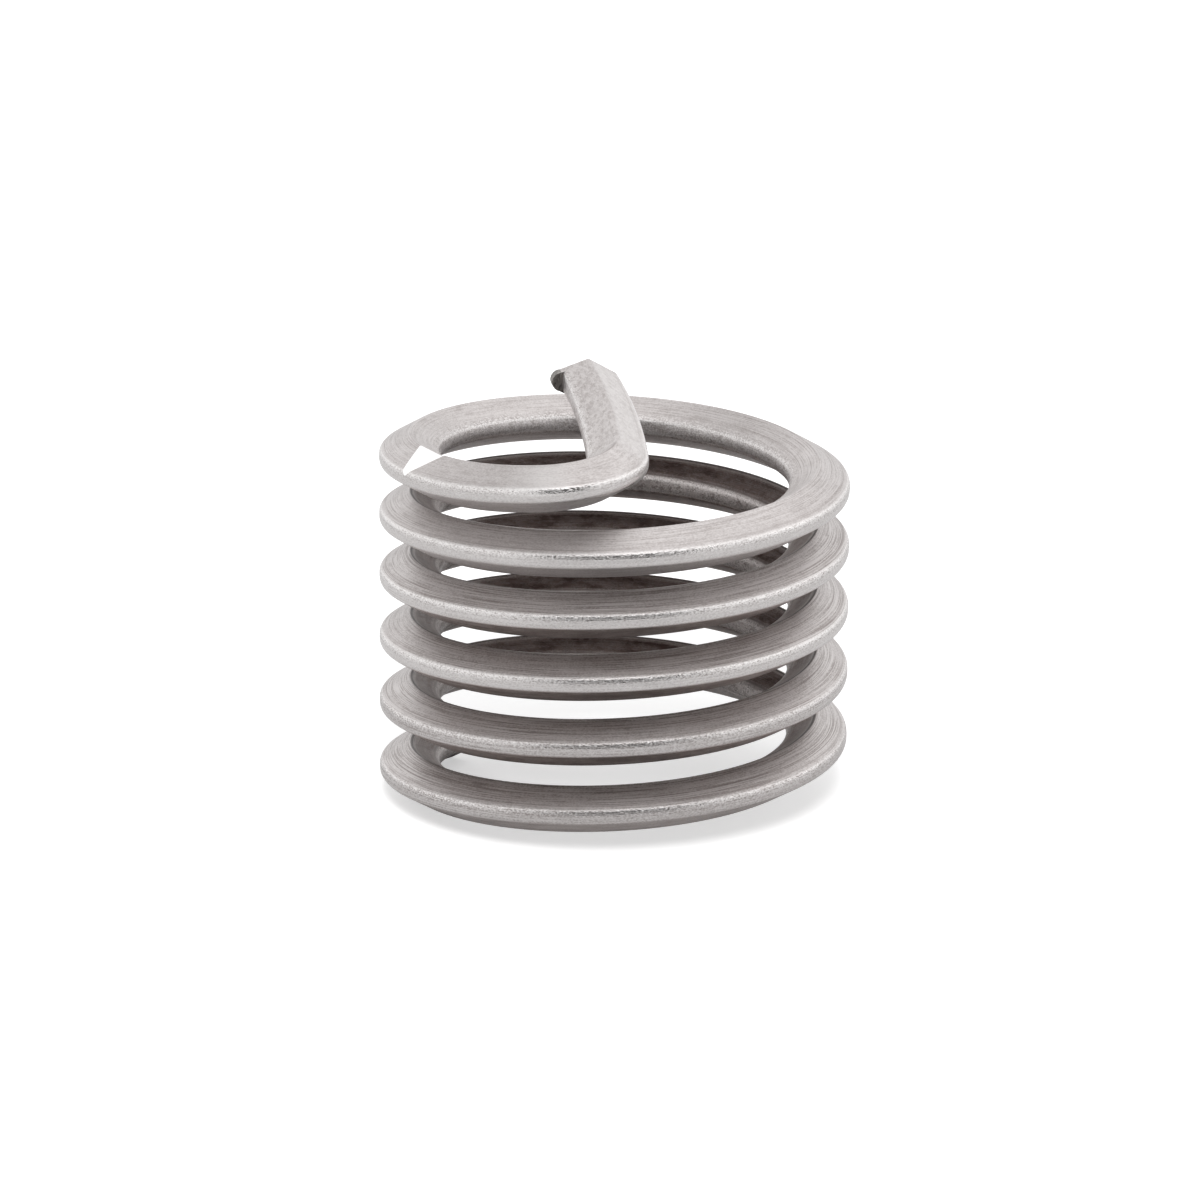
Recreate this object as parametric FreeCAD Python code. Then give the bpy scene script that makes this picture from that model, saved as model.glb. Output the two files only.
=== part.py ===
import FreeCAD, Part
import math
import os

# Free-running helical thread insert: one length of cold-rolled wire of diamond section, coiled to the
# right, with a drive tang bent across the top of the coil and a V notch where the tang breaks off.
# Millimetres and degrees. +Z is the coil's axis, and the origin lies on that axis, level with the lowest
# point of the wire. The coil is walked upwards, anticlockwise seen from above, from its tail to its tang.
# Angles round the axis are counted from +X.

# Wire section
WIRE_HEIGHT = 1.75       # along the axis, from the lower ridge to the upper one
FLANK_ANGLE = 30.0       # each flank against the horizontal: 60 degree crests and 120 degree ridges
OUTER_CREST = 0.46       # flat of the crest that sits in the tapped hole's thread
INNER_CREST = 0.50       # flat of the crest that makes the new, smaller thread

# Coil, free and unfitted
COIL_DIAMETER = 17.0     # over the outer crests
COIL_TURNS = 5.20        # at the coil's own pitch, from the tail to where the wire starts to lift
TAIL_GAP = 0.79          # between the ridges of neighbouring turns at the tail
TANG_GAP = 0.37          # the same at the tang's end, where the coil is wound closer

# Lift, bend and tang
LIFT_ARC = 33.2          # arc in which the wire steepens from the coil's slope to the tang's
BEND_START = 249.1       # angle round the axis where the wire leaves the coil's circle
BEND_ARC = 114.0         # turn of the bend, from along the coil to across it
BEND_INNER_RADIUS = 0.93  # of the inner crest round the bend
TANG_SLOPE = 7.3         # rise of the bend and the tang
TANG_LENGTH = 7.55       # seen from above, from the end of the bend to the end of the wire
TANG_CURL_RADIUS = 43.0  # curl that the tang keeps, seen from above

# Sheared tip, where the cut has swollen the wire's upper inner side and left a half-round nose on its crest
TIP_LENGTH = 0.35        # of the nose
TIP_CREST = 0.82         # inner crest that the nose stands on
TIP_CREST_RISE = 0.115   # of that crest's middle above the wire's

# Break-off notch, cut down into the upper ridge
NOTCH_ARC = 40.5         # from the middle of the notch to the start of the bend
NOTCH_ANGLE = 90.0       # between the two sides of the V
NOTCH_DEPTH = 0.80       # below the upper ridge
NOTCH_ROOT_RADIUS = 0.10

UP = FreeCAD.Vector(0, 0, 1)
FULL_TURN = 2 * math.pi


def flank_reach(height):
    """Horizontal reach of a flank that climbs this height."""
    return height / math.tan(math.radians(FLANK_ANGLE))


# Half widths of the section on either side of its ridges
OUTER_REACH = flank_reach((WIRE_HEIGHT - OUTER_CREST) / 2)
INNER_REACH = flank_reach((WIRE_HEIGHT - INNER_CREST) / 2)
CORNER_REACH = flank_reach(WIRE_HEIGHT / 2)   # to where two flanks would meet in a sharp corner

# Radii of the ridge line, which the section is swept along
RIDGE_RADIUS = COIL_DIAMETER / 2 - OUTER_REACH
BEND_RADIUS = BEND_INNER_RADIUS + INNER_REACH


class Stretch:
    """One stretch of the ridge line: an arc seen from above, climbing at a slope that changes evenly.

    centre: axis of the arc; radius: of the arc; start, turn: angles in radians; height: at the start;
    first, last: climb for each radian turned, at the start and at the end.
    """

    def __init__(self, centre, radius, start, turn, height, first, last):
        self.centre = centre
        self.radius = radius
        self.start = start
        self.turn = turn
        self.height = height
        self.first = first
        self.last = last

    def height_at(self, turned):
        """Height of the line after turning through this angle."""
        return self.height + self.first * turned + (self.last - self.first) * turned**2 / (2 * self.turn)

    def point_at(self, turned):
        """Point of the line after turning through this angle."""
        return self.centre + outward(self.start + turned) * self.radius + UP * self.height_at(turned)

    def edge(self):
        """The stretch as a parabola rolled on to its cylinder."""
        cylinder = Part.Cylinder()
        cylinder.Center = self.centre
        cylinder.Radius = self.radius
        parabola = Part.Geom2d.BezierCurve2d()
        parabola.setPoles([
            FreeCAD.Base.Vector2d(self.start, self.height),
            FreeCAD.Base.Vector2d(self.start + self.turn / 2, self.height + self.first * self.turn / 2),
            FreeCAD.Base.Vector2d(self.start + self.turn, self.height_at(self.turn)),
        ])
        return parabola.toShape(cylinder)


def outward(angle):
    """Horizontal unit vector at an angle round an axis."""
    return FreeCAD.Vector(math.cos(angle), math.sin(angle), 0)


def ridge_line():
    """The four stretches of the ridge line, each starting where the one below it ends."""
    bend_start = math.radians(BEND_START)
    lift_turn = math.radians(LIFT_ARC)
    coil_turn = COIL_TURNS * FULL_TURN
    coil_start = bend_start - lift_turn - coil_turn
    slope = math.tan(math.radians(TANG_SLOPE))
    tail_climb = (WIRE_HEIGHT + TAIL_GAP) / FULL_TURN
    top_climb = (WIRE_HEIGHT + TANG_GAP) / FULL_TURN
    axis = FreeCAD.Vector(0, 0, 0)

    coil = Stretch(axis, RIDGE_RADIUS, coil_start, coil_turn, WIRE_HEIGHT / 2, tail_climb, top_climb)
    lift = Stretch(axis, RIDGE_RADIUS, coil_start + coil_turn, lift_turn,
                   coil.height_at(coil_turn), top_climb, slope * RIDGE_RADIUS)
    bend_axis = outward(bend_start) * (RIDGE_RADIUS - BEND_RADIUS)
    bend = Stretch(bend_axis, BEND_RADIUS, bend_start, math.radians(BEND_ARC),
                   lift.height_at(lift_turn), slope * BEND_RADIUS, slope * BEND_RADIUS)
    tang_start = bend.start + bend.turn
    tang_axis = bend_axis + outward(tang_start) * (BEND_RADIUS - TANG_CURL_RADIUS)
    tang = Stretch(tang_axis, TANG_CURL_RADIUS, tang_start, (TANG_LENGTH - TIP_LENGTH) / TANG_CURL_RADIUS,
                   bend.height_at(bend.turn), slope * TANG_CURL_RADIUS, slope * TANG_CURL_RADIUS)
    return coil, lift, bend, tang


def corners(stretch, turned, inner_crest, rise):
    """Corners of the wire's section in the upright plane across the ridge line, after turning this far.

    They run from the lower corner of the outer crest, over the upper ridge, to the lower ridge. The rise
    is that of the inner crest's middle above the wire's, which leaves the lower flank as it is.
    """
    inner_reach = flank_reach((WIRE_HEIGHT - inner_crest) / 2 + rise)
    across = outward(stretch.start + turned)
    return [stretch.point_at(turned) + across * out + UP * up for out, up in (
        (OUTER_REACH, -OUTER_CREST / 2),
        (OUTER_REACH, OUTER_CREST / 2),
        (0, WIRE_HEIGHT / 2),
        (-inner_reach, rise + inner_crest / 2),
        (-inner_reach, rise - inner_crest / 2),
        (0, -WIRE_HEIGHT / 2),
    )]


def section(stretch, turned, inner_crest=INNER_CREST, rise=0):
    """Outline of the wire's section."""
    outline = corners(stretch, turned, inner_crest, rise)
    return Part.makePolygon(outline + outline[:1])


def swept(stretches, sections):
    """Solid swept along the stretches with the section kept upright, changing evenly between sections."""
    sweep = Part.BRepOffsetAPI.MakePipeShell(Part.Wire([stretch.edge() for stretch in stretches]))
    sweep.setBiNormalMode(UP)
    for outline in sections:
        sweep.add(outline)
    sweep.build()
    sweep.makeSolid()
    return sweep.shape()


def sheared_tip(tang):
    """The last of the wire, with a half-round nose on its inner crest."""
    *outer_side, upper, lower, ridge = corners(tang, tang.turn, TIP_CREST, TIP_CREST_RISE)
    across = outward(tang.start + tang.turn)
    nose = Part.Arc(upper, (upper + lower) / 2 - across * TIP_CREST / 2, lower)
    outline = Part.Wire([Part.makePolygon([lower, ridge] + outer_side + [upper]), nose.toShape()])
    along = UP.cross(across) + UP * math.tan(math.radians(TANG_SLOPE))
    return Part.Face(outline).extrude(along * TIP_LENGTH)


def edge_at(shape, point):
    """The edge whose middle lies at a point."""
    return min(shape.Edges, key=lambda edge: edge.CenterOfMass.distanceToPoint(point))


def break_notch(coil, lift):
    """Wedge that cuts the V notch, lying outwards across the wire with its rounded root down."""
    turned = lift.turn - math.radians(NOTCH_ARC)
    stretch = lift
    if turned < 0:
        stretch = coil
        turned += coil.turn
    across = outward(stretch.start + turned)
    along = UP.cross(across)
    inner_end = stretch.point_at(turned) - across * CORNER_REACH
    root = inner_end + UP * (WIRE_HEIGHT / 2 - NOTCH_DEPTH)
    height = NOTCH_DEPTH + WIRE_HEIGHT / 2
    side = along * height * math.tan(math.radians(NOTCH_ANGLE / 2))
    outline = Part.makePolygon([root, root + UP * height + side, root + UP * height - side, root])
    reach = across * 2 * CORNER_REACH
    wedge = Part.Face(outline).extrude(reach)
    return wedge.makeFillet(NOTCH_ROOT_RADIUS, [edge_at(wedge, root + reach / 2)])


def thread_insert_wire():
    """The whole insert: coil, bend and tang in one wire, with its sheared tip and break-off notch."""
    coil, lift, bend, tang = ridge_line()
    coiled = swept([coil, lift, bend], [section(coil, 0)])
    across = swept([tang], [section(tang, 0), section(tang, tang.turn, TIP_CREST, TIP_CREST_RISE)])
    wire = coiled.fuse([across, sheared_tip(tang)])
    return wire.cut(break_notch(coil, lift))


os.makedirs("parts", exist_ok=True)
thread_insert_wire().exportStep("parts/thread_insert_wire.step")
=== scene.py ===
"""Looks of a helical thread insert: one coiled wire of brushed stainless steel on a white studio floor."""

import logging
import math
from dataclasses import dataclass
from enum import Enum
from typing import Sequence

import bpy
from mathutils import Matrix

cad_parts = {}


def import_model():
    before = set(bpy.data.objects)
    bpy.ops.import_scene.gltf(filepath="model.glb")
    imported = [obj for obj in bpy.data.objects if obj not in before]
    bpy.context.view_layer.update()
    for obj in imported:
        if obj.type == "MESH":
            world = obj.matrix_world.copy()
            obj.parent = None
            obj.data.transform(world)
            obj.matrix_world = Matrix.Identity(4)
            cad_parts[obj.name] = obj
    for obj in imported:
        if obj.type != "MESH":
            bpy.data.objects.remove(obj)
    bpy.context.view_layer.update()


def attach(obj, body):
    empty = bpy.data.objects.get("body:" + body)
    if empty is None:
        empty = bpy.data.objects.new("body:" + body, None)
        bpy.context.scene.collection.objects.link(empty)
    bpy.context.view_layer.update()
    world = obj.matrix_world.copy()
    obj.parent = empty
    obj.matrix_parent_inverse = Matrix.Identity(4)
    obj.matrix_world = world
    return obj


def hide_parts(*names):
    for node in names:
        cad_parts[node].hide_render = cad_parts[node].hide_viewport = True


Material, Node, Socket, Tree = bpy.types.Material, bpy.types.Node, bpy.types.NodeSocket, bpy.types.NodeTree

MM = 0.001
NODE = "thread_insert_wire"
LOG = logging.getLogger("thread_insert")

# Places of the mix node's sockets for colours
MIX_FIRST, MIX_SECOND, MIX_RESULT = 6, 7, 2

# What the mesh keeps: each face's finish, each point's place along, across and up the wire, and the way the
# wire runs there
MARK = "finish_"
PLACE = "wire_place"
WAY = "wire_way"


class Formula:
    """A value in a node tree, so that what the nodes work out can be written as sums and products."""

    def __init__(self, tree: Tree, socket: Socket) -> None:
        """Keeps the tree that the value belongs to, and the output that gives it."""
        self.tree = tree
        self.socket = socket

    def _math(self, operation: str, *others: "Number") -> "Formula":
        """The result of a Math node on this value and others."""
        inputs = dict(enumerate((self, *others)))
        return Formula(self.tree, made(self.tree, "ShaderNodeMath", inputs, operation=operation))

    def __radd__(self, other: float) -> "Formula":
        """A number plus this."""
        return self + other

    def __add__(self, other: "Number") -> "Formula":
        """This plus another."""
        return self._math("ADD", other)

    def __sub__(self, other: "Number") -> "Formula":
        """This less another."""
        return self._math("SUBTRACT", other)

    def __rsub__(self, other: float) -> "Formula":
        """A number less this."""
        return self * -1.0 + other

    def __rmul__(self, other: float) -> "Formula":
        """A number times this."""
        return self * other

    def __mul__(self, other: "Number") -> "Formula":
        """This times another."""
        return self._math("MULTIPLY", other)

    def __truediv__(self, other: "Number") -> "Formula":
        """This over another."""
        return self._math("DIVIDE", other)

    def above(self, other: "Number") -> "Formula":
        """1 where this is more than another, and 0 elsewhere."""
        return self._math("GREATER_THAN", other)

    def whole(self) -> "Formula":
        """This without its fraction."""
        return self._math("FLOOR")

    def __pow__(self, other: "Number") -> "Formula":
        """This to a power."""
        return self._math("POWER", other)

    def sine(self) -> "Formula":
        """The sine of this angle."""
        return self._math("SINE")

    def cosine(self) -> "Formula":
        """The cosine of this angle."""
        return self._math("COSINE")

    def tangent(self) -> "Formula":
        """The tangent of this angle."""
        return self._math("TANGENT")

    def __abs__(self) -> "Formula":
        """This without its sign."""
        return self._math("ABSOLUTE")

    def share(self, start: "Number", length: "Number") -> "Formula":
        """How far this is from a start through a length, from 0 to 1."""
        result = (self - start) / length
        result.socket.node.use_clamp = True
        return result


Number = float | Formula
Color = tuple[float, float, float, float]


def feed(tree: Tree, socket: Socket, value: object) -> None:
    """Links a formula or an output to an input in the tree, or sets the input to a plain value."""
    if isinstance(value, Formula):
        value = value.socket
    if isinstance(value, Socket):
        tree.links.new(value, socket)
    else:
        socket.default_value = value


def add_node(tree: Tree, kind: str, inputs: dict, **settings: object) -> Node:
    """A node with its settings made and its inputs fed.

    Args:
        tree: the tree that gets the node.
        kind: the node's type.
        inputs: socket name or number to the value it is fed.
        settings: the node's properties.

    Returns:
        The node.
    """
    node = tree.nodes.new(kind)
    for name, value in settings.items():
        setattr(node, name, value)
    for name, value in inputs.items():
        feed(tree, node.inputs[name], value)
    return node


def made(tree: Tree, kind: str, inputs: dict, **settings: object) -> Socket:
    """The first output of a node made like add_node's."""
    return add_node(tree, kind, inputs, **settings).outputs[0]


def joined(tree: Tree, point: Sequence[Number]) -> Socket:
    """A vector made of three values."""
    return made(tree, "ShaderNodeCombineXYZ", dict(enumerate(point)))


def parted(tree: Tree, vector: Socket) -> list[Formula]:
    """The three values in a vector."""
    node = add_node(tree, "ShaderNodeSeparateXYZ", {0: vector})
    return [Formula(tree, output) for output in node.outputs]


@dataclass(frozen=True)
class WireSizes:
    """Sizes of the insert, in metres and radians, with the same values as the solid's."""

    wire_height: float = 1.75 * MM
    flank_angle: float = math.radians(30.0)
    outer_crest: float = 0.46 * MM
    inner_crest: float = 0.50 * MM
    coil_diameter: float = 17.0 * MM
    coil_turn: float = 5.20 * math.tau
    tail_gap: float = 0.79 * MM
    tang_gap: float = 0.37 * MM
    lift_turn: float = math.radians(33.2)
    bend_start: float = math.radians(249.1)
    bend_turn: float = math.radians(114.0)
    bend_inner_radius: float = 0.93 * MM
    tang_slope: float = math.tan(math.radians(7.3))
    tang_length: float = 7.55 * MM
    tang_curl_radius: float = 43.0 * MM
    tip_length: float = 0.35 * MM
    tip_crest: float = 0.70 * MM
    tip_crest_rise: float = 0.175 * MM
    tip_reach: float = 1.07 * MM
    notch_arc: float = math.radians(40.5)
    notch_far_side: float = math.radians(56.0)
    notch_near_side: float = math.radians(45.0)
    notch_depth: float = 0.80 * MM
    notch_root_radius: float = 0.10 * MM
    outer_round: float = 0.27 * MM
    inner_round: float = 0.38 * MM
    ridge_round: float = 0.08 * MM

    def flank_reach(self, height: float) -> float:
        """Horizontal reach of a flank that climbs a height."""
        return height / math.tan(self.flank_angle)

    @property
    def outer_reach(self) -> float:
        """From the ridges out to the outer crest."""
        return self.flank_reach((self.wire_height - self.outer_crest) / 2)

    @property
    def inner_reach(self) -> float:
        """From the ridges in to the inner crest."""
        return self.flank_reach((self.wire_height - self.inner_crest) / 2)

    @property
    def corner_reach(self) -> float:
        """From the ridges to where two flanks would meet in a sharp corner."""
        return self.flank_reach(self.wire_height / 2)

    @property
    def ridge_radius(self) -> float:
        """Of the ridges round the coil."""
        return self.coil_diameter / 2 - self.outer_reach

    @property
    def bend_radius(self) -> float:
        """Of the ridges round the bend."""
        return self.bend_inner_radius + self.inner_reach

    @property
    def coil_start(self) -> float:
        """Angle round the axis of the tail."""
        return self.bend_start - self.lift_turn - self.coil_turn

    @property
    def tail_climb(self) -> float:
        """Climb for each radian at the tail."""
        return (self.wire_height + self.tail_gap) / math.tau

    @property
    def top_climb(self) -> float:
        """Climb for each radian at the top of the coil."""
        return (self.wire_height + self.tang_gap) / math.tau


@dataclass(frozen=True)
class WireDetail:
    """How finely the wire's mesh is divided, and how its faces are told apart.

    nose_from: share of the way in to the inner crest past which the tip's end swells into the nose.
    nose_span: height of the section that is bent round the nose, over the inner crest's.
    end_facing: how squarely a face has to look along the wire to be one of its sheared ends.
    crisp_angle: between two faces, past which the edge is not shaded smooth.
    """

    coil_rings: int = 620
    lift_rings: int = 16
    bend_rings: int = 30
    tang_rings: int = 60
    tip_rings: int = 5
    corner_steps: int = 5
    flat_cuts: int = 3
    root_steps: int = 8
    nose_from: float = 0.80
    nose_span: float = 1.44
    end_facing: float = 0.8
    merge_distance: float = 0.0005 * MM
    crisp_angle: float = math.radians(35.0)


class Finish(Enum):
    """The finishes on the wire, by the names of their materials."""

    BRUSHED = "brushed_stainless_wire"
    PRESSED = "pressed_notch_face"
    SHEARED = "sheared_wire_end"


# Inputs of the wire's tree, each named after one of the sizes
INPUTS = (
    "Ridge Radius", "Coil Start", "Coil Turn", "Tail Climb", "Top Climb", "Lift Turn", "Bend Radius",
    "Bend Turn", "Tang Slope", "Tang Length", "Tang Curl Radius", "Tip Length", "Wire Height", "Outer Crest",
    "Inner Crest", "Outer Reach", "Inner Reach", "Corner Reach", "Outer Round", "Inner Round", "Ridge Round",
    "Tip Crest", "Tip Crest Rise", "Tip Reach", "Notch Arc", "Notch Far Side", "Notch Near Side",
    "Notch Depth", "Notch Root Radius",
)


class WireTree:
    """The node tree that makes the whole wire from its sizes."""

    def __init__(self, sizes: WireSizes, detail: WireDetail, finishes: dict) -> None:
        """Builds the tree.

        Args:
            sizes: the insert's sizes, each of which in INPUTS becomes an input of the tree.
            detail: how finely the mesh is divided.
            finishes: Finish to its material.
        """
        self.sizes = sizes
        self.detail = detail
        self.finishes = finishes
        self.stretch_group = self._stretch_group()
        self.tree = bpy.data.node_groups.new("insert_wire", "GeometryNodeTree")
        self.tree.interface.new_socket("Geometry", in_out="OUTPUT", socket_type="NodeSocketGeometry")
        for name in INPUTS:
            self.tree.interface.new_socket(name, in_out="INPUT", socket_type="NodeSocketFloat")
        self.group_input = self.tree.nodes.new("NodeGroupInput")
        self._build()

    def size(self, name: str) -> Formula:
        """One of the tree's inputs, as a formula."""
        return Formula(self.tree, self.group_input.outputs[name])

    @staticmethod
    def _stretch_group() -> Tree:
        """The tree of one stretch of the ridge line: an arc seen from above, whose climb changes evenly.

        Returns:
            A group that gives the way gone from the stretch's start, and the angle turned.
        """
        tree = bpy.data.node_groups.new("wire_stretch", "GeometryNodeTree")
        for name in ("Share", "Radius", "Start", "Turn", "First Climb", "Last Climb"):
            tree.interface.new_socket(name, in_out="INPUT", socket_type="NodeSocketFloat")
        tree.interface.new_socket("Gone", in_out="OUTPUT", socket_type="NodeSocketVector")
        tree.interface.new_socket("Turned", in_out="OUTPUT", socket_type="NodeSocketFloat")
        group_input = tree.nodes.new("NodeGroupInput")
        share, radius, start, turn, first, last = (Formula(tree, out) for out in group_input.outputs[:6])
        turned = share * turn
        angle = start + turned
        rise = turned * first + turned * turned * (last - first) / (turn * 2.0)
        gone = joined(tree, (radius * (angle.cosine() - start.cosine()),
                             radius * (angle.sine() - start.sine()), rise))
        add_node(tree, "NodeGroupOutput", {"Gone": gone, "Turned": turned})
        return tree

    def ridge_line(self, coil: Number, lift: Number, bend: Number,
                   tang: Number) -> tuple[list[Formula], Formula]:
        """A point of the ridge line.

        Args:
            coil, lift, bend, tang: how much of each stretch is behind, from 0 to 1.

        Returns:
            The point, and the angle of outward there.
        """
        size = self.size
        angle, slope, top_climb = size("Coil Start"), size("Tang Slope"), size("Top Climb")
        radius, bend_radius, curl_radius = size("Ridge Radius"), size("Bend Radius"), size("Tang Curl Radius")
        bend_climb, tang_climb = slope * bend_radius, slope * curl_radius
        point = [radius * angle.cosine(), radius * angle.sine(), size("Wire Height") * 0.5]
        stretches = (
            (coil, radius, size("Coil Turn"), size("Tail Climb"), top_climb),
            (lift, radius, size("Lift Turn"), top_climb, slope * radius),
            (bend, bend_radius, size("Bend Turn"), bend_climb, bend_climb),
            (tang, curl_radius, size("Tang Length") / curl_radius, tang_climb, tang_climb),
        )
        start = angle
        for share, arc_radius, turn, first, last in stretches:
            inputs = dict(enumerate((share, arc_radius, start, turn, first, last)))
            stretch = add_node(self.tree, "GeometryNodeGroup", inputs, node_tree=self.stretch_group)
            gone = parted(self.tree, stretch.outputs["Gone"])
            point = [old + new for old, new in zip(point, gone)]
            angle = angle + Formula(self.tree, stretch.outputs["Turned"])
            start = start + turn
        return point, angle

    def _index(self) -> Formula:
        """The number of each point."""
        return Formula(self.tree, self.tree.nodes.new("GeometryNodeInputIndex").outputs[0])

    def _by_index(self, kind: str, values: Sequence[object]) -> Socket:
        """For each point, the value that has the point's number in a list."""
        switch = add_node(self.tree, "GeometryNodeIndexSwitch", {}, data_type=kind)
        while len(switch.index_switch_items) < len(values):
            switch.index_switch_items.new()
        for number, value in enumerate((self._index(), *values)):
            feed(self.tree, switch.inputs[number], value)
        return switch.outputs[0]

    def _outline(self, corners: Sequence[tuple[Number, Number, Number]], steps: int) -> Socket:
        """A closed outline with rounded corners, as a curve.

        Args:
            corners: across, up and the radius of each corner's round.
            steps: how many steps each round is made in.

        Returns:
            The curve.
        """
        tree = self.tree
        places = [joined(tree, (across, up, 0.0)) for across, up, _ in corners]
        ring = made(tree, "GeometryNodeMeshCircle", {"Vertices": len(corners)})
        placed = made(tree, "GeometryNodeSetPosition",
                      {"Geometry": ring, "Position": self._by_index("VECTOR", places)})
        line = made(tree, "GeometryNodeMeshToCurve", {"Mesh": placed})
        radius = self._by_index("FLOAT", [corner_round for _, _, corner_round in corners])
        return made(tree, "GeometryNodeFilletCurve", {"Curve": line, "Count": steps, "Radius": radius},
                    mode="POLY")

    def _section(self) -> Socket:
        """The wire's section, with its six corners rounded and its flats divided, as a curve."""
        size, steps = self.size, self.detail.corner_steps
        half, outer, inner = (size(name) * 0.5 for name in ("Wire Height", "Outer Crest", "Inner Crest"))
        out, inward = size("Outer Reach"), size("Inner Reach") * -1.0
        ridge_round, outer_round, inner_round = size("Ridge Round"), size("Outer Round"), size("Inner Round")
        outline = self._outline((
            (0.0, half * -1.0, ridge_round), (out, outer * -1.0, outer_round), (out, outer, outer_round),
            (0.0, half, ridge_round), (inward, inner, inner_round), (inward, inner * -1.0, inner_round),
        ), steps)
        point = self._index()
        points_in_corner = steps + 1.0
        step = point - (point / points_in_corner).whole() * points_in_corner
        last_in_corner = step.above(steps - 0.5)
        return made(self.tree, "GeometryNodeSubdivideCurve",
                    {"Curve": outline, "Cuts": last_in_corner * self.detail.flat_cuts})

    def _swept(self, section: Socket, rings: int) -> tuple[Socket, Formula, list[Formula]]:
        """A tube of rings, each with the section's points, ready to be put in place.

        Args:
            section: the curve whose points each ring has.
            rings: how many there are.

        Returns:
            The tube's mesh, the number of each point's ring, and the point's place in the section.
        """
        tree = self.tree
        line = made(tree, "GeometryNodeCurvePrimitiveLine", {})
        path = made(tree, "GeometryNodeResampleCurve", {"Curve": line, "Count": rings}, mode="COUNT")
        tube = made(tree, "GeometryNodeCurveToMesh",
                    {"Curve": path, "Profile Curve": section, "Fill Caps": True})
        domain = add_node(tree, "GeometryNodeAttributeDomainSize", {0: section}, component="CURVE")
        points = Formula(tree, domain.outputs["Point Count"])
        index = self._index()
        ring = ((index + 0.5) / points).whole()
        position = made(tree, "GeometryNodeInputPosition", {})
        sample = made(tree, "GeometryNodeSampleIndex",
                      {"Geometry": section, "Value": position, "Index": index - ring * points},
                      data_type="FLOAT_VECTOR", domain="POINT")
        return tube, ring, parted(tree, sample)

    def _stored(self, mesh: Socket, name: str, value: object, kind: str = "FLOAT_VECTOR",
                domain: str = "POINT", selection: bool | Formula = True) -> Socket:
        """The mesh with a value kept under a name, on all or some of its points or faces."""
        return made(self.tree, "GeometryNodeStoreNamedAttribute",
                    {"Geometry": mesh, "Name": name, "Selection": selection, "Value": value},
                    data_type=kind, domain=domain)

    def _kept(self, name: str, kind: str = "FLOAT_VECTOR") -> Socket:
        """The value kept under a name."""
        return made(self.tree, "GeometryNodeInputNamedAttribute", {"Name": name}, data_type=kind)

    def _passed_on(self, source: Socket, mesh: Socket, name: str) -> Socket:
        """The mesh with the vector that a source's surface keeps at the same place."""
        position = made(self.tree, "GeometryNodeInputPosition", {})
        vector = made(self.tree, "GeometryNodeSampleNearestSurface",
                      {"Mesh": source, "Value": self._kept(name), "Sample Position": position},
                      data_type="FLOAT_VECTOR")
        return self._stored(mesh, name, vector)

    def _marked(self, mesh: Socket, finish: Finish, selection: bool | Formula = True) -> Socket:
        """The mesh with the selected faces marked for a finish."""
        return self._stored(mesh, MARK + finish.name, 1.0, "FLOAT", "FACE", selection)

    def _wire(self) -> Socket:
        """The wire from tail to tip, without its notch."""
        tree, size, detail = self.tree, self.size, self.detail
        lift_from = detail.coil_rings
        bend_from = lift_from + detail.lift_rings
        tang_from = bend_from + detail.bend_rings
        # The ring where the tip starts is there twice, and the nose starts with the second
        nose_from = tang_from + detail.tang_rings
        tube, ring, (across, up, _) = self._swept(self._section(), nose_from + detail.tip_rings + 2)

        tip_share = size("Tip Length") / size("Tang Length")
        swelling = ring.share(tang_from, detail.tang_rings)
        tang = swelling * (1.0 - tip_share) + ring.share(nose_from + 1.0, detail.tip_rings) * tip_share
        coil, lift = ring.share(0.0, detail.coil_rings), ring.share(lift_from, detail.lift_rings)
        bend = ring.share(bend_from, detail.bend_rings)
        point, angle = self.ridge_line(coil, lift, bend, tang)

        inner_side = across.share(0.0, size("Inner Reach") * -1.0)
        tip_half, inner_half = size("Tip Crest") * 0.5, size("Inner Crest") * 0.5
        upper_growth = size("Tip Crest Rise") + tip_half - inner_half
        lower_growth = size("Tip Crest Rise") - tip_half + inner_half
        crest_share = up.share(inner_half * -1.0, size("Inner Crest"))
        growth = lower_growth + (upper_growth - lower_growth) * crest_share
        swollen_up = up + swelling * inner_side * growth
        swollen_across = across - (size("Tip Reach") - size("Inner Reach")) * swelling * inner_side

        nose = ring.above(nose_from + 0.5) * inner_side.above(detail.nose_from)
        span = size("Inner Crest") * detail.nose_span
        turn = (up.share(span * -0.5, span) - 0.5) * math.pi
        nose_across = (size("Tip Reach") + tip_half * turn.cosine()) * -1.0
        nose_up = size("Tip Crest Rise") + tip_half * turn.sine()
        final_across = swollen_across + (nose_across - swollen_across) * nose
        final_up = swollen_up + (nose_up - swollen_up) * nose

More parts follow.
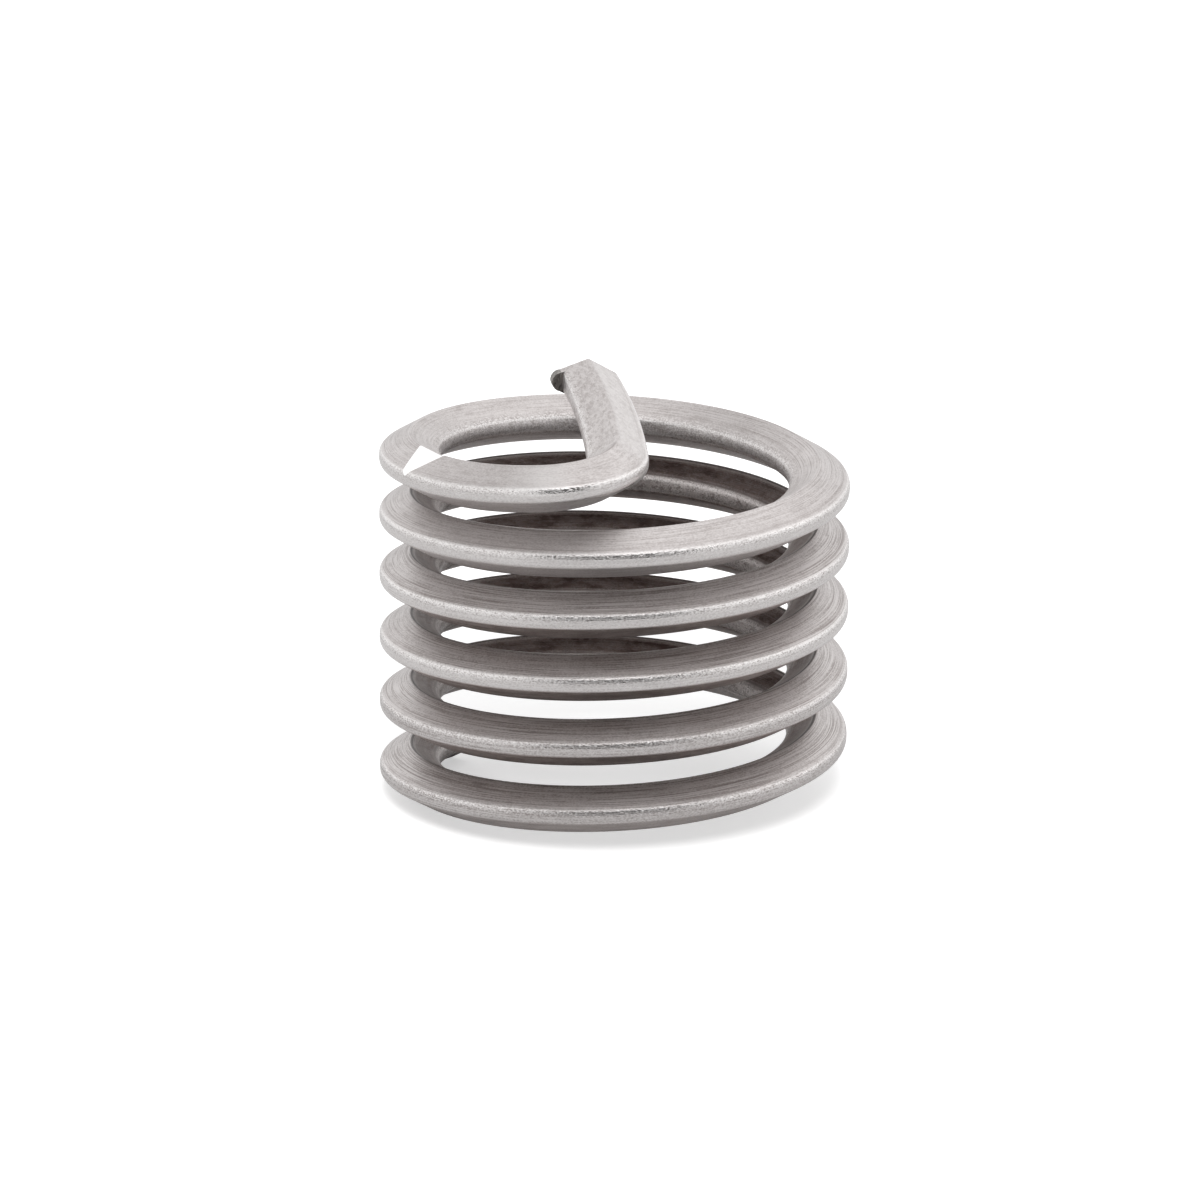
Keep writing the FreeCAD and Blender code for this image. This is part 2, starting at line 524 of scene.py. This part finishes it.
        place = joined(tree, (point[0] + angle.cosine() * final_across,
                              point[1] + angle.sine() * final_across, point[2] + final_up))
        gone = ((coil * size("Coil Turn") + lift * size("Lift Turn")) * size("Ridge Radius")
                + bend * size("Bend Turn") * size("Bend Radius") + tang * size("Tang Length"))
        coil_rise = size("Top Climb") / size("Ridge Radius")
        rise = coil_rise + (size("Tang Slope") - coil_rise) * lift
        mesh = self._marked(tube, Finish.SHEARED, nose.above(0.5))
        mesh = self._stored(mesh, PLACE, joined(tree, (gone, across, up)))
        mesh = self._stored(mesh, WAY, joined(tree, (angle.sine() * -1.0, angle.cosine(), rise)))
        mesh = made(tree, "GeometryNodeSetPosition", {"Geometry": mesh, "Position": place})
        mesh = made(tree, "GeometryNodeMergeByDistance",
                    {"Geometry": mesh, "Distance": detail.merge_distance})
        facing = add_node(tree, "ShaderNodeVectorMath",
                          {0: made(tree, "GeometryNodeInputNormal", {}), 1: self._kept(WAY)},
                          operation="DOT_PRODUCT")
        squareness = abs(Formula(tree, facing.outputs["Value"]))
        return self._marked(mesh, Finish.SHEARED, squareness.above(detail.end_facing))

    def _notch(self) -> Socket:
        """The wedge that cuts the V notch, lying outwards across the wire with its rounded root down."""
        tree, size = self.tree, self.size
        height = size("Notch Depth") + size("Wire Height") * 0.5
        near, far = size("Notch Near Side").tangent(), size("Notch Far Side").tangent()
        outline = self._outline(((0.0, 0.0, size("Notch Root Radius")), (height * near, height, 0.0),
                                 (height * far * -1.0, height, 0.0)), self.detail.root_steps)
        wedge, end, (along, up, _) = self._swept(outline, 2)
        coil_share = 1.0 - (size("Notch Arc") - size("Lift Turn")) / size("Coil Turn")
        point, angle = self.ridge_line(coil_share, 0.0, 0.0, 0.0)
        across = (end * 2.0 - 1.0) * size("Corner Reach")
        raised = point[2] + size("Wire Height") * 0.5 - size("Notch Depth") + up
        place = joined(tree, (point[0] + angle.cosine() * across - angle.sine() * along,
                              point[1] + angle.sine() * across + angle.cosine() * along, raised))
        mesh = made(tree, "GeometryNodeSetPosition", {"Geometry": wedge, "Position": place})
        return self._marked(mesh, Finish.PRESSED)

    def _build(self) -> None:
        """Cuts the notch from the wire, keeps its edges crisp, and ends the tree."""
        tree = self.tree
        wire = self._wire()
        mesh = made(tree, "GeometryNodeMeshBoolean", {"Mesh 1": wire, "Mesh 2": self._notch()},
                    operation="DIFFERENCE", solver="EXACT")
        for name in (PLACE, WAY):
            mesh = self._passed_on(wire, mesh, name)
        mesh = made(tree, "GeometryNodeSetShadeSmooth", {0: mesh, "Shade Smooth": True}, domain="FACE")
        angle = Formula(tree, tree.nodes.new("GeometryNodeInputMeshEdgeAngle").outputs["Unsigned Angle"])
        crisp = {0: mesh, "Selection": angle.above(self.detail.crisp_angle), "Shade Smooth": False}
        mesh = made(tree, "GeometryNodeSetShadeSmooth", crisp, domain="EDGE")
        mesh = made(tree, "GeometryNodeRealizeInstances", {0: mesh})
        chosen = {Finish.BRUSHED: True}
        for finish in (Finish.SHEARED, Finish.PRESSED):
            chosen[finish] = Formula(tree, self._kept(MARK + finish.name, "FLOAT")).above(0.5)
        for finish, selection in chosen.items():
            mesh = made(tree, "GeometryNodeSetMaterial",
                        {"Geometry": mesh, "Selection": selection, "Material": self.finishes[finish]})
        add_node(tree, "NodeGroupOutput", {0: mesh})

    def applied(self, name: str) -> bpy.types.Object:
        """The tree's result as a plain mesh object in the scene, with no modifier on it."""
        source = in_scene(f"{name}_source", bpy.data.meshes.new(f"{name}_source"))
        modifier = source.modifiers.new("wire", "NODES")
        modifier.node_group = self.tree
        for item in self.tree.interface.items_tree:
            if item.in_out == "INPUT":
                modifier[item.identifier] = getattr(self.sizes, item.name.lower().replace(" ", "_"))
        normals = source.modifiers.new("normals", "WEIGHTED_NORMAL")
        normals.keep_sharp = True
        evaluated = source.evaluated_get(bpy.context.evaluated_depsgraph_get())
        mesh = bpy.data.meshes.new_from_object(evaluated)
        mesh.name = name
        for number in reversed([n for n, material in enumerate(mesh.materials) if material is None]):
            mesh.materials.pop(index=number)
        bpy.data.objects.remove(source)
        return in_scene(name, mesh)


def in_scene(name: str, data: bpy.types.ID) -> bpy.types.Object:
    """An object with some data, put in the scene."""
    thing = bpy.data.objects.new(name, data)
    bpy.context.scene.collection.objects.link(thing)
    return thing


def attribute(tree: Tree, name: str) -> Socket:
    """A vector kept on the mesh under a name, in a material."""
    return add_node(tree, "ShaderNodeAttribute", {}, attribute_name=name).outputs["Vector"]


@dataclass(frozen=True)
class Grain:
    """Noise whose grains have a length along one axis and a width across it, in metres.

    detail: how many finer noises are laid over it.
    shift: moves the noise, so that two are not alike.
    axis: 0, 1 or 2, for the axis that the grains lie along.
    """

    length: float
    width: float
    detail: float
    shift: float = 0.0
    axis: int = 0

    def noise(self, tree: Tree, place: Socket) -> Formula:
        """The noise at a place, from 0 to 1."""
        lengths = [self.width] * 3
        lengths[self.axis] = self.length
        scale = tuple(1.0 / length for length in lengths)
        scaled = made(tree, "ShaderNodeVectorMath", {0: place, 1: scale}, operation="MULTIPLY")
        moved = made(tree, "ShaderNodeVectorMath", {0: scaled, 1: (self.shift,) * 3}, operation="ADD")
        noise = made(tree, "ShaderNodeTexNoise", {"Vector": moved, "Scale": 1.0, "Detail": self.detail})
        return Formula(tree, noise)


def blend(tree: Tree, share: Number, first: object, second: object, kind: str = "MIX") -> Socket:
    """Two colours mixed.

    Args:
        tree: the material's tree.
        share: how much of the second colour there is.
        first, second: colours or sockets.
        kind: how the second colour is laid over the first.

    Returns:
        The mixed colour.
    """
    inputs = {0: share, MIX_FIRST: first, MIX_SECOND: second}
    return add_node(tree, "ShaderNodeMix", inputs, data_type="RGBA", blend_type=kind).outputs[MIX_RESULT]


def bumped(tree: Tree, height: Formula, strength: float, distance: float) -> Socket:
    """A normal bent by a relief from 0 to 1, where 1 is a distance in metres."""
    return made(tree, "ShaderNodeBump", {"Strength": strength, "Distance": distance, "Height": height})


def new_material(name: str) -> tuple[Material, Node]:
    """A material with a metal shader, and its shader node."""
    material = bpy.data.materials.new(name)
    material.use_nodes = True
    shader = material.node_tree.nodes["Principled BSDF"]
    shader.inputs["Metallic"].default_value = 1.0
    return material, shader


@dataclass(frozen=True)
class Ramp:
    """Where a value starts to count, and the length in which it comes to count in full.

    Both are in the value's own unit. A length below zero makes a ramp that runs downwards.
    """

    start: float
    length: float

    def over(self, value: Formula, origin: float = 0.0) -> Formula:
        """How far a value is up the ramp, from 0 to 1, with the start counted from an origin."""
        return value.share(origin + self.start, self.length)


@dataclass(frozen=True)
class Band:
    """A band that runs along the wire round one point of its section, in metres.

    inset: of the point, in from where the band is measured.
    end: how far from the point the band ends.
    height: of the point above the section's middle, or None where the band has the same width at all heights.
    """

    inset: float
    end: Ramp
    height: float | None = None

    def share(self, beyond: Formula, up: Formula) -> Formula:
        """1 inside the band and 0 outside it, for a distance out of where it is measured and a height."""
        off = abs(beyond + self.inset)
        if self.height is not None:
            off = ((up - self.height) ** 2.0 + off ** 2.0) ** 0.5
        return 1.0 - self.end.over(off)


@dataclass(frozen=True)
class ZoneSizes:
    """Where the zones of the wire's surface lie and how softly they end.

    The ends of the bottom and upper turns are counted in turns from the tail, open_turns down from the top
    of the coil, and capped_turns down from the bend. All other values are in metres.
    """

    bottom_end: Ramp = Ramp(0.6, 0.5)
    upper_start: Ramp = Ramp(1.3, 0.8)
    open_turns: float = 1.15
    open_start: Ramp = Ramp(-3.0 * MM, 3.0 * MM)
    capped_turns: float = 1.1
    fade: Ramp = Ramp(0.0, 1.5 * MM)
    bend_start: Ramp = Ramp(-0.6 * MM, 0.8 * MM)
    bend_share: float = 0.8
    bend_end: Ramp = Ramp(0.0, 0.6 * MM)
    gleam_start: Ramp = Ramp(-1.0 * MM, 1.2 * MM)
    gleam_end: Ramp = Ramp(0.3 * MM, 0.9 * MM)
    gleam_side: Ramp = Ramp(-0.1 * MM, 0.3 * MM)
    lower_start: Ramp = Ramp(0.02 * MM, -0.08 * MM)
    inner_start: Ramp = Ramp(-0.05 * MM, -0.20 * MM)
    inner_crest_start: Ramp = Ramp(0.34 * MM, -0.16 * MM)
    crest_start: Ramp = Ramp(-0.14 * MM, 0.08 * MM)
    outer_side: Ramp = Ramp(0.0, 0.12 * MM)
    edge: Band = Band(0.04 * MM, Ramp(0.05 * MM, 0.05 * MM), 0.21 * MM)
    shoulder: Band = Band(0.0, Ramp(0.07 * MM, 0.06 * MM), 0.15 * MM)
    rim: Band = Band(0.06 * MM, Ramp(0.03 * MM, 0.05 * MM), 0.24 * MM)
    seam: Band = Band(0.22 * MM, Ramp(0.03 * MM, 0.04 * MM), 0.36 * MM)
    groove: Band = Band(0.23 * MM, Ramp(0.012 * MM, 0.03 * MM))
    fold: Band = Band(0.04 * MM, Ramp(0.02 * MM, 0.05 * MM))


class Zones:
    """Zones of the wire's surface. Each is 1 inside, 0 outside, and fades where it ends."""

    def __init__(self, sizes: WireSizes, tree: Tree, place: Socket) -> None:
        """Works out every zone from a point's place along, across and up the wire."""
        self.limits = ZoneSizes()
        self.along, self.across, self.up = parted(tree, place)
        self.upper_side = self.up.above(0.0)
        self._find_along(sizes)
        self._find_across(sizes)

    def total(self, **weights: float) -> Formula:
        """The sum of zones, each times the weight under its name."""
        return sum(getattr(self, zone) * weight for zone, weight in weights.items())

    def spared(self, **weights: float) -> Formula:
        """What zones leave of 1, when each in turn takes away the share under its name."""
        return math.prod(1.0 - getattr(self, zone) * weight for zone, weight in weights.items())

    def _find_along(self, sizes: WireSizes) -> None:
        """The zones that start or end somewhere along the wire."""
        limits, along = self.limits, self.along
        one_turn = math.tau * sizes.ridge_radius
        coil_top = sizes.coil_turn * sizes.ridge_radius
        coil_end = coil_top + sizes.lift_turn * sizes.ridge_radius
        bend_length = sizes.bend_turn * sizes.bend_radius
        self.bottom_turn = 1.0 - limits.bottom_end.over(along / one_turn)
        self.upper_turns = limits.upper_start.over(along / one_turn)
        self.open_turn = limits.open_start.over(along, coil_top - limits.open_turns * one_turn)
        # The turns that have another one above them
        self.capped = 1.0 - limits.fade.over(along, coil_end - limits.capped_turns * one_turn)
        # The wire that the bending tool has held, from the notch on
        self.worked = limits.fade.over(along, coil_end - sizes.notch_arc * sizes.ridge_radius)
        self.tang = limits.fade.over(along, coil_end + 0.5 * bend_length)
        bend_end = limits.bend_end.over(along, coil_end + limits.bend_share * bend_length)
        self.bend = limits.bend_start.over(along, coil_end) * (1.0 - bend_end)
        # A patch of painted highlight on the upper outer flank where the bend starts
        gleam_end = limits.gleam_end.over(along, coil_end)
        self.gleam = (limits.gleam_start.over(along, coil_end) * (1.0 - gleam_end)
                      * limits.gleam_side.over(self.across) * self.upper_side)

    def _find_across(self, sizes: WireSizes) -> None:
        """The zones that go round the wire's section."""
        limits, across, up = self.limits, self.across, self.up
        # The flanks turned downwards, darkened by painted shade, less of it on the open top turn and the
        # bottom turn
        lower_flanks = limits.lower_start.over(up, -0.5 * sizes.outer_crest)
        self.lower = lower_flanks * (1.0 - self.total(open_turn=0.95, bottom_turn=0.45))
        self.outer_side = limits.outer_side.over(across)
        self.inner_crest = limits.inner_crest_start.over(across, -sizes.inner_reach)
        # The side that is turned inwards, under another turn, and its flanks, all darkened by painted shade
        self.covered = limits.inner_start.over(across) * self.capped
        self.hidden = self.covered * self.spared(inner_crest=0.75)
        # The outer crest, the round on its upper edge that carries a painted highlight, the strip below that,
        # and a line beside it that carries painted shade
        beyond_crest = across - sizes.outer_reach
        self.crest = limits.crest_start.over(beyond_crest)
        self.edge = limits.edge.share(beyond_crest, up)
        self.shoulder = limits.shoulder.share(beyond_crest, up)
        self.groove = limits.groove.share(beyond_crest, up) * self.upper_side
        # The inner crest's two rounds, which carry a painted highlight, and the lines where they meet the
        # flanks, which carry painted shade
        beyond_crest = across * -1.0 - sizes.inner_reach
        self.rim = limits.rim.share(beyond_crest, abs(up))
        self.seam = limits.seam.share(beyond_crest, abs(up))
        # The upper ridge, along which dark lines of painted shade run on the bend and under the turn above
        self.fold = limits.fold.share(across, up) * self.upper_side


GRAINS = {
    "scratches": Grain(90.0 * MM, 0.30 * MM, 0.0, 41.9),
    "brushing": Grain(2.2 * MM, 0.030 * MM, 1.0, 23.1),
    "drawing": Grain(7.0 * MM, 0.038 * MM, 1.0, 11.3),
    "speckle": Grain(0.075 * MM, 0.050 * MM, 1.0, 73.9),
    "streaks": Grain(7.0 * MM, 0.22 * MM, 1.0, 31.7),
    "clouds": Grain(0.9 * MM, 0.40 * MM, 3.0, 57.1),
    "mottle": Grain(0.26 * MM, 0.16 * MM, 3.0, 91.3),
    "patches": Grain(6.0 * MM, 0.9 * MM, 2.0, 7.7),
}


@dataclass(frozen=True)
class BrushedSteel:
    """Stainless wire, rolled and brushed along its length.

    The crests are burnished by the coiling rolls. Painted highlights lie on the crests' upper edges, the
    upper turns' crests, the inner crests, the tang's outer side and a patch before the bend, and painted
    shade darkens the flanks that are turned down or inwards, with dark painted shade lines beside the crests
    and along the ridge.
    The ramps say which values of a noise count.
    """

    sizes: WireSizes
    light: Color = (0.63, 0.596, 0.588, 1.0)
    dark: Color = (0.34, 0.303, 0.292, 1.0)
    stain: Color = (0.30, 0.262, 0.25, 1.0)
    burnished: Color = (0.90, 0.875, 0.865, 1.0)
    film: Color = (0.46, 0.392, 0.372, 1.0)
    thin_film: Color = (0.92, 0.885, 0.87, 1.0)
    grime: Color = (0.08, 0.066, 0.062, 1.0)
    roughness: float = 0.42
    crest_roughness: float = 0.29
    anisotropy: float = 0.50
    grain_turn: float = 0.25
    wear: float = 0.72
    scratch_width: Ramp = Ramp(0.0, 0.032)
    brushed_patches: Ramp = Ramp(0.38, 0.24)
    stains: Ramp = Ramp(0.56, 0.22)
    groove_breaks: Ramp = Ramp(0.35, 0.4)
    film_clouds: Ramp = Ramp(0.35, 0.30)
    film_mottle: Ramp = Ramp(0.40, 0.16)
    bump_strength: float = 0.8
    bump_height: float = 0.016 * MM

    def material(self) -> Material:
        """The finish as a material."""
        material, shader = new_material(Finish.BRUSHED.value)
        brushed = BrushedTree(self, material.node_tree)
        inputs = {
            "Base Color": brushed.color(), "Roughness": brushed.roughness(), "Normal": brushed.normal(),
            "Anisotropic": self.anisotropy, "Anisotropic Rotation": self.grain_turn,
            "Tangent": attribute(material.node_tree, WAY),
        }
        for name, value in inputs.items():
            feed(material.node_tree, shader.inputs[name], value)
        return material


class BrushedTree:
    """What the brushed steel's shader is fed, worked out from the zones of the wire and from noises.

    A number beside the name of a zone or a noise is its weight in the sum.
    """

    def __init__(self, steel: BrushedSteel, tree: Tree) -> None:
        """Reads the zones and the noises in the finish's tree."""
        place = attribute(tree, PLACE)
        self.steel = steel
        self.tree = tree
        self.zones = Zones(steel.sizes, tree, place)
        self.noises = {name: grain.noise(tree, place) for name, grain in GRAINS.items()}

    def swing(self, **weights: Number) -> Formula:
        """The sum of noises about zero, each times the weight under its name."""
        return sum((self.noises[name] - 0.5) * weight for name, weight in weights.items())

    def _wear(self) -> Formula:
        """How light the brushing has left the steel: 0 for the dark tone, and 1 for the light one."""
        steel, zones = self.steel, self.zones
        scratches = 1.0 - steel.scratch_width.over(abs(self.noises["scratches"] - 0.5))
        lines = self.swing(brushing=4.2, drawing=2.6, streaks=0.15) - scratches * 0.16
        patches = 0.45 + steel.brushed_patches.over(self.noises["patches"]) * 0.75
        shown = (1.0 - zones.total(open_turn=0.55, worked=0.20, tang=0.20)) * patches
        shown = shown * zones.spared(inner_crest=0.8, covered=0.6, crest=0.4)
        spots = self.swing(speckle=1.7 - zones.total(open_turn=0.5),
                           mottle=0.6 + zones.total(tang=1.2, inner_crest=1.0, covered=3.0))
        # The open top turn is a little lighter: painted light, as nothing above shades it
        return steel.wear + zones.total(open_turn=0.05) + lines * shown + spots

    def color(self) -> Socket:
        """The steel's colour."""
        tree, steel, zones, noises = self.tree, self.steel, self.zones, self.noises
        # Burnish on the crests, plus painted highlights: on the crest's upper edge, on the patch before the
        # bend, and on the upper turns' crests, which stand in for lower crests mirroring shaded floor
        burnish_and_highlight_share = (zones.total(crest=0.18, edge=0.20, gleam=0.42) + zones.crest * zones.upper_turns * 0.30
                   + self.swing(speckle=zones.total(crest=0.55, edge=0.7, shoulder=1.4)))
        layers = (
            (steel.stains.over(noises["clouds"]) * 0.30, steel.stain),
            # Painted shade: a dark line on the upper flank beside the crest's painted highlight, broken up by
            # streaks
            (zones.groove * steel.groove_breaks.over(noises["streaks"]) * 0.6, steel.dark),
            (burnish_and_highlight_share, steel.burnished),
            # Painted light: the tang's outer side lighter, less so on the bend
            (zones.tang * zones.outer_side * (0.32 - zones.bend * 0.22), steel.burnished),
            # Painted highlight on the inner crests and their rounds
            (zones.inner_crest * (0.12 + self.swing(speckle=2.2)) + zones.total(rim=0.45), steel.burnished),
            # Painted shade lines where the inner crests meet the flanks, and along the ridge on the bend
            (zones.seam * (0.8 - zones.open_turn * 0.65) + zones.fold * zones.bend * 0.9, steel.dark),
            # Painted shade: a near-black line along the upper ridge of each turn that has another turn above
            # it
            (zones.fold * zones.capped * 0.8, steel.grime),
        )
        color = blend(tree, self._wear(), steel.dark, steel.light)
        for share, tone in layers:
            color = blend(tree, share, color, tone)
        # Painted shade, paler in clouds and mottled, multiplied over the down-turned flanks and the inward
        # side under another turn
        film = blend(tree, steel.film_clouds.over(noises["clouds"]) * 0.5, steel.film, steel.thin_film)
        mottled = steel.film_mottle.over(noises["mottle"]) * 0.85 + 0.15
        for share in (zones.lower, zones.hidden * (1.0 - zones.lower), zones.hidden * mottled):
            color = blend(tree, share, color, film, "MULTIPLY")
        return color

    def roughness(self) -> Formula:
        """The steel's roughness, lower on the burnished crests."""
        smoother = self.zones.crest * (self.steel.crest_roughness - self.steel.roughness)
        smoother = smoother + self.zones.edge * 0.01
        return self.swing(streaks=0.14, clouds=0.12) + self.steel.roughness + smoother

    def normal(self) -> Socket:
        """The steel's fine relief: speckle everywhere, brush lines on the coil, and mottle on the tang."""
        noises, zones = self.noises, self.zones
        height = (noises["speckle"] * (0.40 + zones.total(edge=0.85, shoulder=0.8, inner_crest=0.5))
                  + noises["brushing"] * (1.0 - zones.worked) * 0.25 + noises["mottle"] * zones.tang * 0.6)
        return bumped(self.tree, height, self.steel.bump_strength, self.steel.bump_height)


@dataclass(frozen=True)
class ToolFaceSteel:
    """Bare steel of a face that a tool has made, with upright marks.

    tones: the ramp over the marks that leads from the dark tone to the light one.
    """

    finish: Finish
    dark: Color
    light: Color
    tones: Ramp
    marks: Grain
    roughness: float
    roughness_swing: float
    bump_strength: float
    bump_height: float

    def material(self) -> Material:
        """The finish as a material."""
        material, shader = new_material(self.finish.value)
        tree = material.node_tree
        marks = self.marks.noise(tree, add_node(tree, "ShaderNodeTexCoord", {}).outputs["Object"])
        color = blend(tree, self.tones.over(marks), self.dark, self.light)
        feed(tree, shader.inputs["Base Color"], color)
        feed(tree, shader.inputs["Roughness"], (marks - 0.5) * self.roughness_swing + self.roughness)
        feed(tree, shader.inputs["Normal"], bumped(tree, marks, self.bump_strength, self.bump_height))
        return material


# The smooth faces of the notch
PRESSED_STEEL = ToolFaceSteel(
    Finish.PRESSED, dark=(0.86, 0.85, 0.845, 1.0), light=(0.86, 0.85, 0.845, 1.0), tones=Ramp(0.0, 1.0),
    marks=Grain(0.05 * MM, 0.35 * MM, 2.0, axis=2), roughness=0.14, roughness_swing=0.10,
    bump_strength=0.10, bump_height=0.01 * MM,
)

# The rough, dull faces where the wire is cut off
SHEARED_STEEL = ToolFaceSteel(
    Finish.SHEARED, dark=(0.16, 0.15, 0.145, 1.0), light=(0.42, 0.40, 0.38, 1.0), tones=Ramp(0.35, 0.3),
    marks=Grain(0.16 * MM, 0.09 * MM, 3.0, axis=2), roughness=0.45, roughness_swing=0.3,
    bump_strength=0.7, bump_height=0.04 * MM,
)


@dataclass
class ThreadInsert:
    """The whole insert: one wire, coiled, with its tang, its notch and its finishes."""

    sizes: WireSizes
    detail: WireDetail

    def build(self) -> bpy.types.Object:
        """Makes the wire, puts it in the frame and gives it back."""
        finishes = {
            Finish.BRUSHED: BrushedSteel(self.sizes).material(),
            Finish.PRESSED: PRESSED_STEEL.material(),
            Finish.SHEARED: SHEARED_STEEL.material(),
        }
        piece = WireTree(self.sizes, self.detail, finishes).applied("coiled_wire")
        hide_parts(NODE)
        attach(piece, "root")
        LOG.info("%s: %d faces", piece.name, len(piece.data.polygons))
        return piece


@dataclass(frozen=True)
class Glow:
    """A soft patch of the room, brighter or darker than the rest. Angles are in degrees.

    azimuth: of the patch's middle, counted from +X.
    elevation: of its middle, above the floor.
    core: from its middle, within which the patch is whole.
    edge: from its middle, where the patch ends.
    strength: added to the room's.
    """

    azimuth: float
    elevation: float
    core: float
    edge: float
    strength: float

    @property
    def direction(self) -> tuple[float, float, float]:
        """Unit vector to the patch's middle."""
        azimuth, elevation = math.radians(self.azimuth), math.radians(self.elevation)
        return (math.cos(azimuth) * math.cos(elevation), math.sin(azimuth) * math.cos(elevation),
                math.sin(elevation))


@dataclass
class Studio:
    """The white floor, the soft light round the insert, and the camera.

    floor_tone, floor_shown: of the floor for light that falls on it, and for the camera.
    floor_lift: glow of the floor that only the camera sees.
    room, ambient: strength of the room that the steel mirrors, and of the one that lights the floor.
    shift: of the lens, in frame widths.
    """

    white: Color = (1.0, 1.0, 1.0, 1.0)
    floor_size: float = 4.0
    floor_tone: float = 0.58
    floor_shown: float = 0.68
    floor_lift: float = 0.50
    room: float = 0.97
    ambient: float = 0.80
    glows: tuple[Glow, ...] = (
        Glow(40.0, 60.0, 14.0, 40.0, 0.34),
        Glow(135.0, 55.0, 12.0, 34.0, -0.12),
        Glow(74.0, 10.0, 10.0, 28.0, 0.07),
        Glow(112.0, 28.0, 12.0, 28.0, 0.10),
        Glow(-90.0, 74.0, 8.0, 20.0, 0.90),
        Glow(-90.0, 20.0, 27.0, 44.0, -0.95),
    )
    key_elevation: float = math.radians(38.0)
    key_width: float = math.radians(15.0)
    key_power: float = 2.5
    camera_place: tuple[float, float, float] = (0.0, -0.26312, 0.08275)
    camera_tilt: float = math.radians(15.91)
    camera_roll: float = math.radians(0.30)
    lens: float = 226.44
    sensor: float = 36.0
    clip: tuple[float, float] = (0.01, 5.0)
    shift: tuple[float, float] = (-0.011667, -0.009167)

    def build(self) -> None:
        """Makes the studio."""
        self._floor()
        self._world()
        self._key()
        self._camera()
        bpy.context.scene.view_settings.view_transform = "Standard"

    def _floor(self) -> None:
        """A wide white floor, level with the lowest point of the wire."""
        half = self.floor_size / 2
        mesh = bpy.data.meshes.new("studio_floor")
        mesh.from_pydata([(-half, -half, 0), (half, -half, 0), (half, half, 0), (-half, half, 0)], [],
                         [(0, 1, 2, 3)])
        floor = in_scene("studio_floor", mesh)
        material = bpy.data.materials.new("white_floor")
        material.use_nodes = True
        tree = material.node_tree
        tree.nodes.clear()
        seen = Formula(tree, tree.nodes.new("ShaderNodeLightPath").outputs["Is Camera Ray"])
        tone = self.floor_tone + seen * (self.floor_shown - self.floor_tone)
        diffuse = made(tree, "ShaderNodeBsdfDiffuse", {"Color": joined(tree, (tone, tone, tone))})
        lift = made(tree, "ShaderNodeEmission", {"Strength": seen * self.floor_lift})
        both = made(tree, "ShaderNodeAddShader", {0: diffuse, 1: lift})
        add_node(tree, "ShaderNodeOutputMaterial", {0: both})
        mesh.materials.append(material)

    def _world(self) -> None:
        """White surroundings, with their brighter and darker patches."""
        world = bpy.data.worlds.new("white_room")
        world.use_nodes = True
        tree = world.node_tree
        tree.nodes.clear()
        direction = tree.nodes.new("ShaderNodeTexCoord").outputs["Generated"]
        light = Formula(tree, tree.nodes.new("ShaderNodeValue").outputs[0])
        light.socket.default_value = self.room
        for glow in self.glows:
            facing = add_node(tree, "ShaderNodeVectorMath", {0: direction, 1: glow.direction},
                              operation="DOT_PRODUCT")
            core, edge = math.cos(math.radians(glow.core)), math.cos(math.radians(glow.edge))
            patch = made(tree, "ShaderNodeMapRange",
                         {"Value": facing.outputs["Value"], "From Min": edge, "From Max": core},
                         interpolation_type="SMOOTHSTEP")
            light = light + Formula(tree, patch) * glow.strength
        path = tree.nodes.new("ShaderNodeLightPath")
        seen = Formula(tree, path.outputs["Is Camera Ray"])
        mirrored = Formula(tree, path.outputs["Is Glossy Ray"])
        strength = (light - self.ambient) * mirrored + seen * (1.0 - self.ambient) + self.ambient
        background = made(tree, "ShaderNodeBackground", {"Strength": strength, "Color": self.white})
        add_node(tree, "ShaderNodeOutputWorld", {0: background})
        bpy.context.scene.world = world

    def _key(self) -> None:
        """A wide soft lamp from the front that whitens the floor, and that the steel does not mirror."""
        light = bpy.data.lights.new("front_key", "SUN")
        light.energy = self.key_power
        light.angle = self.key_width
        lamp = in_scene("front_key", light)
        lamp.rotation_euler = (math.pi / 2 - self.key_elevation, 0.0, 0.0)
        lamp.visible_glossy = False

    def _camera(self) -> None:
        """The camera in front of the insert, a little above it."""
        data = bpy.data.cameras.new("camera")
        data.lens = self.lens
        data.sensor_width = self.sensor
        data.clip_start, data.clip_end = self.clip
        data.shift_x, data.shift_y = self.shift
        camera = in_scene("camera", data)
        tilt = Matrix.Rotation(math.pi / 2 - self.camera_tilt, 4, "X")
        roll = Matrix.Rotation(self.camera_roll, 4, "Z")
        camera.matrix_world = Matrix.Translation(self.camera_place) @ tilt @ roll
        bpy.context.scene.camera = camera


def main() -> None:
    """Builds the studio and the insert."""
    logging.basicConfig(level=logging.INFO, format="%(name)s: %(message)s")
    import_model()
    Studio().build()
    ThreadInsert(WireSizes(), WireDetail()).build()


if __name__ == "__main__":
    main()
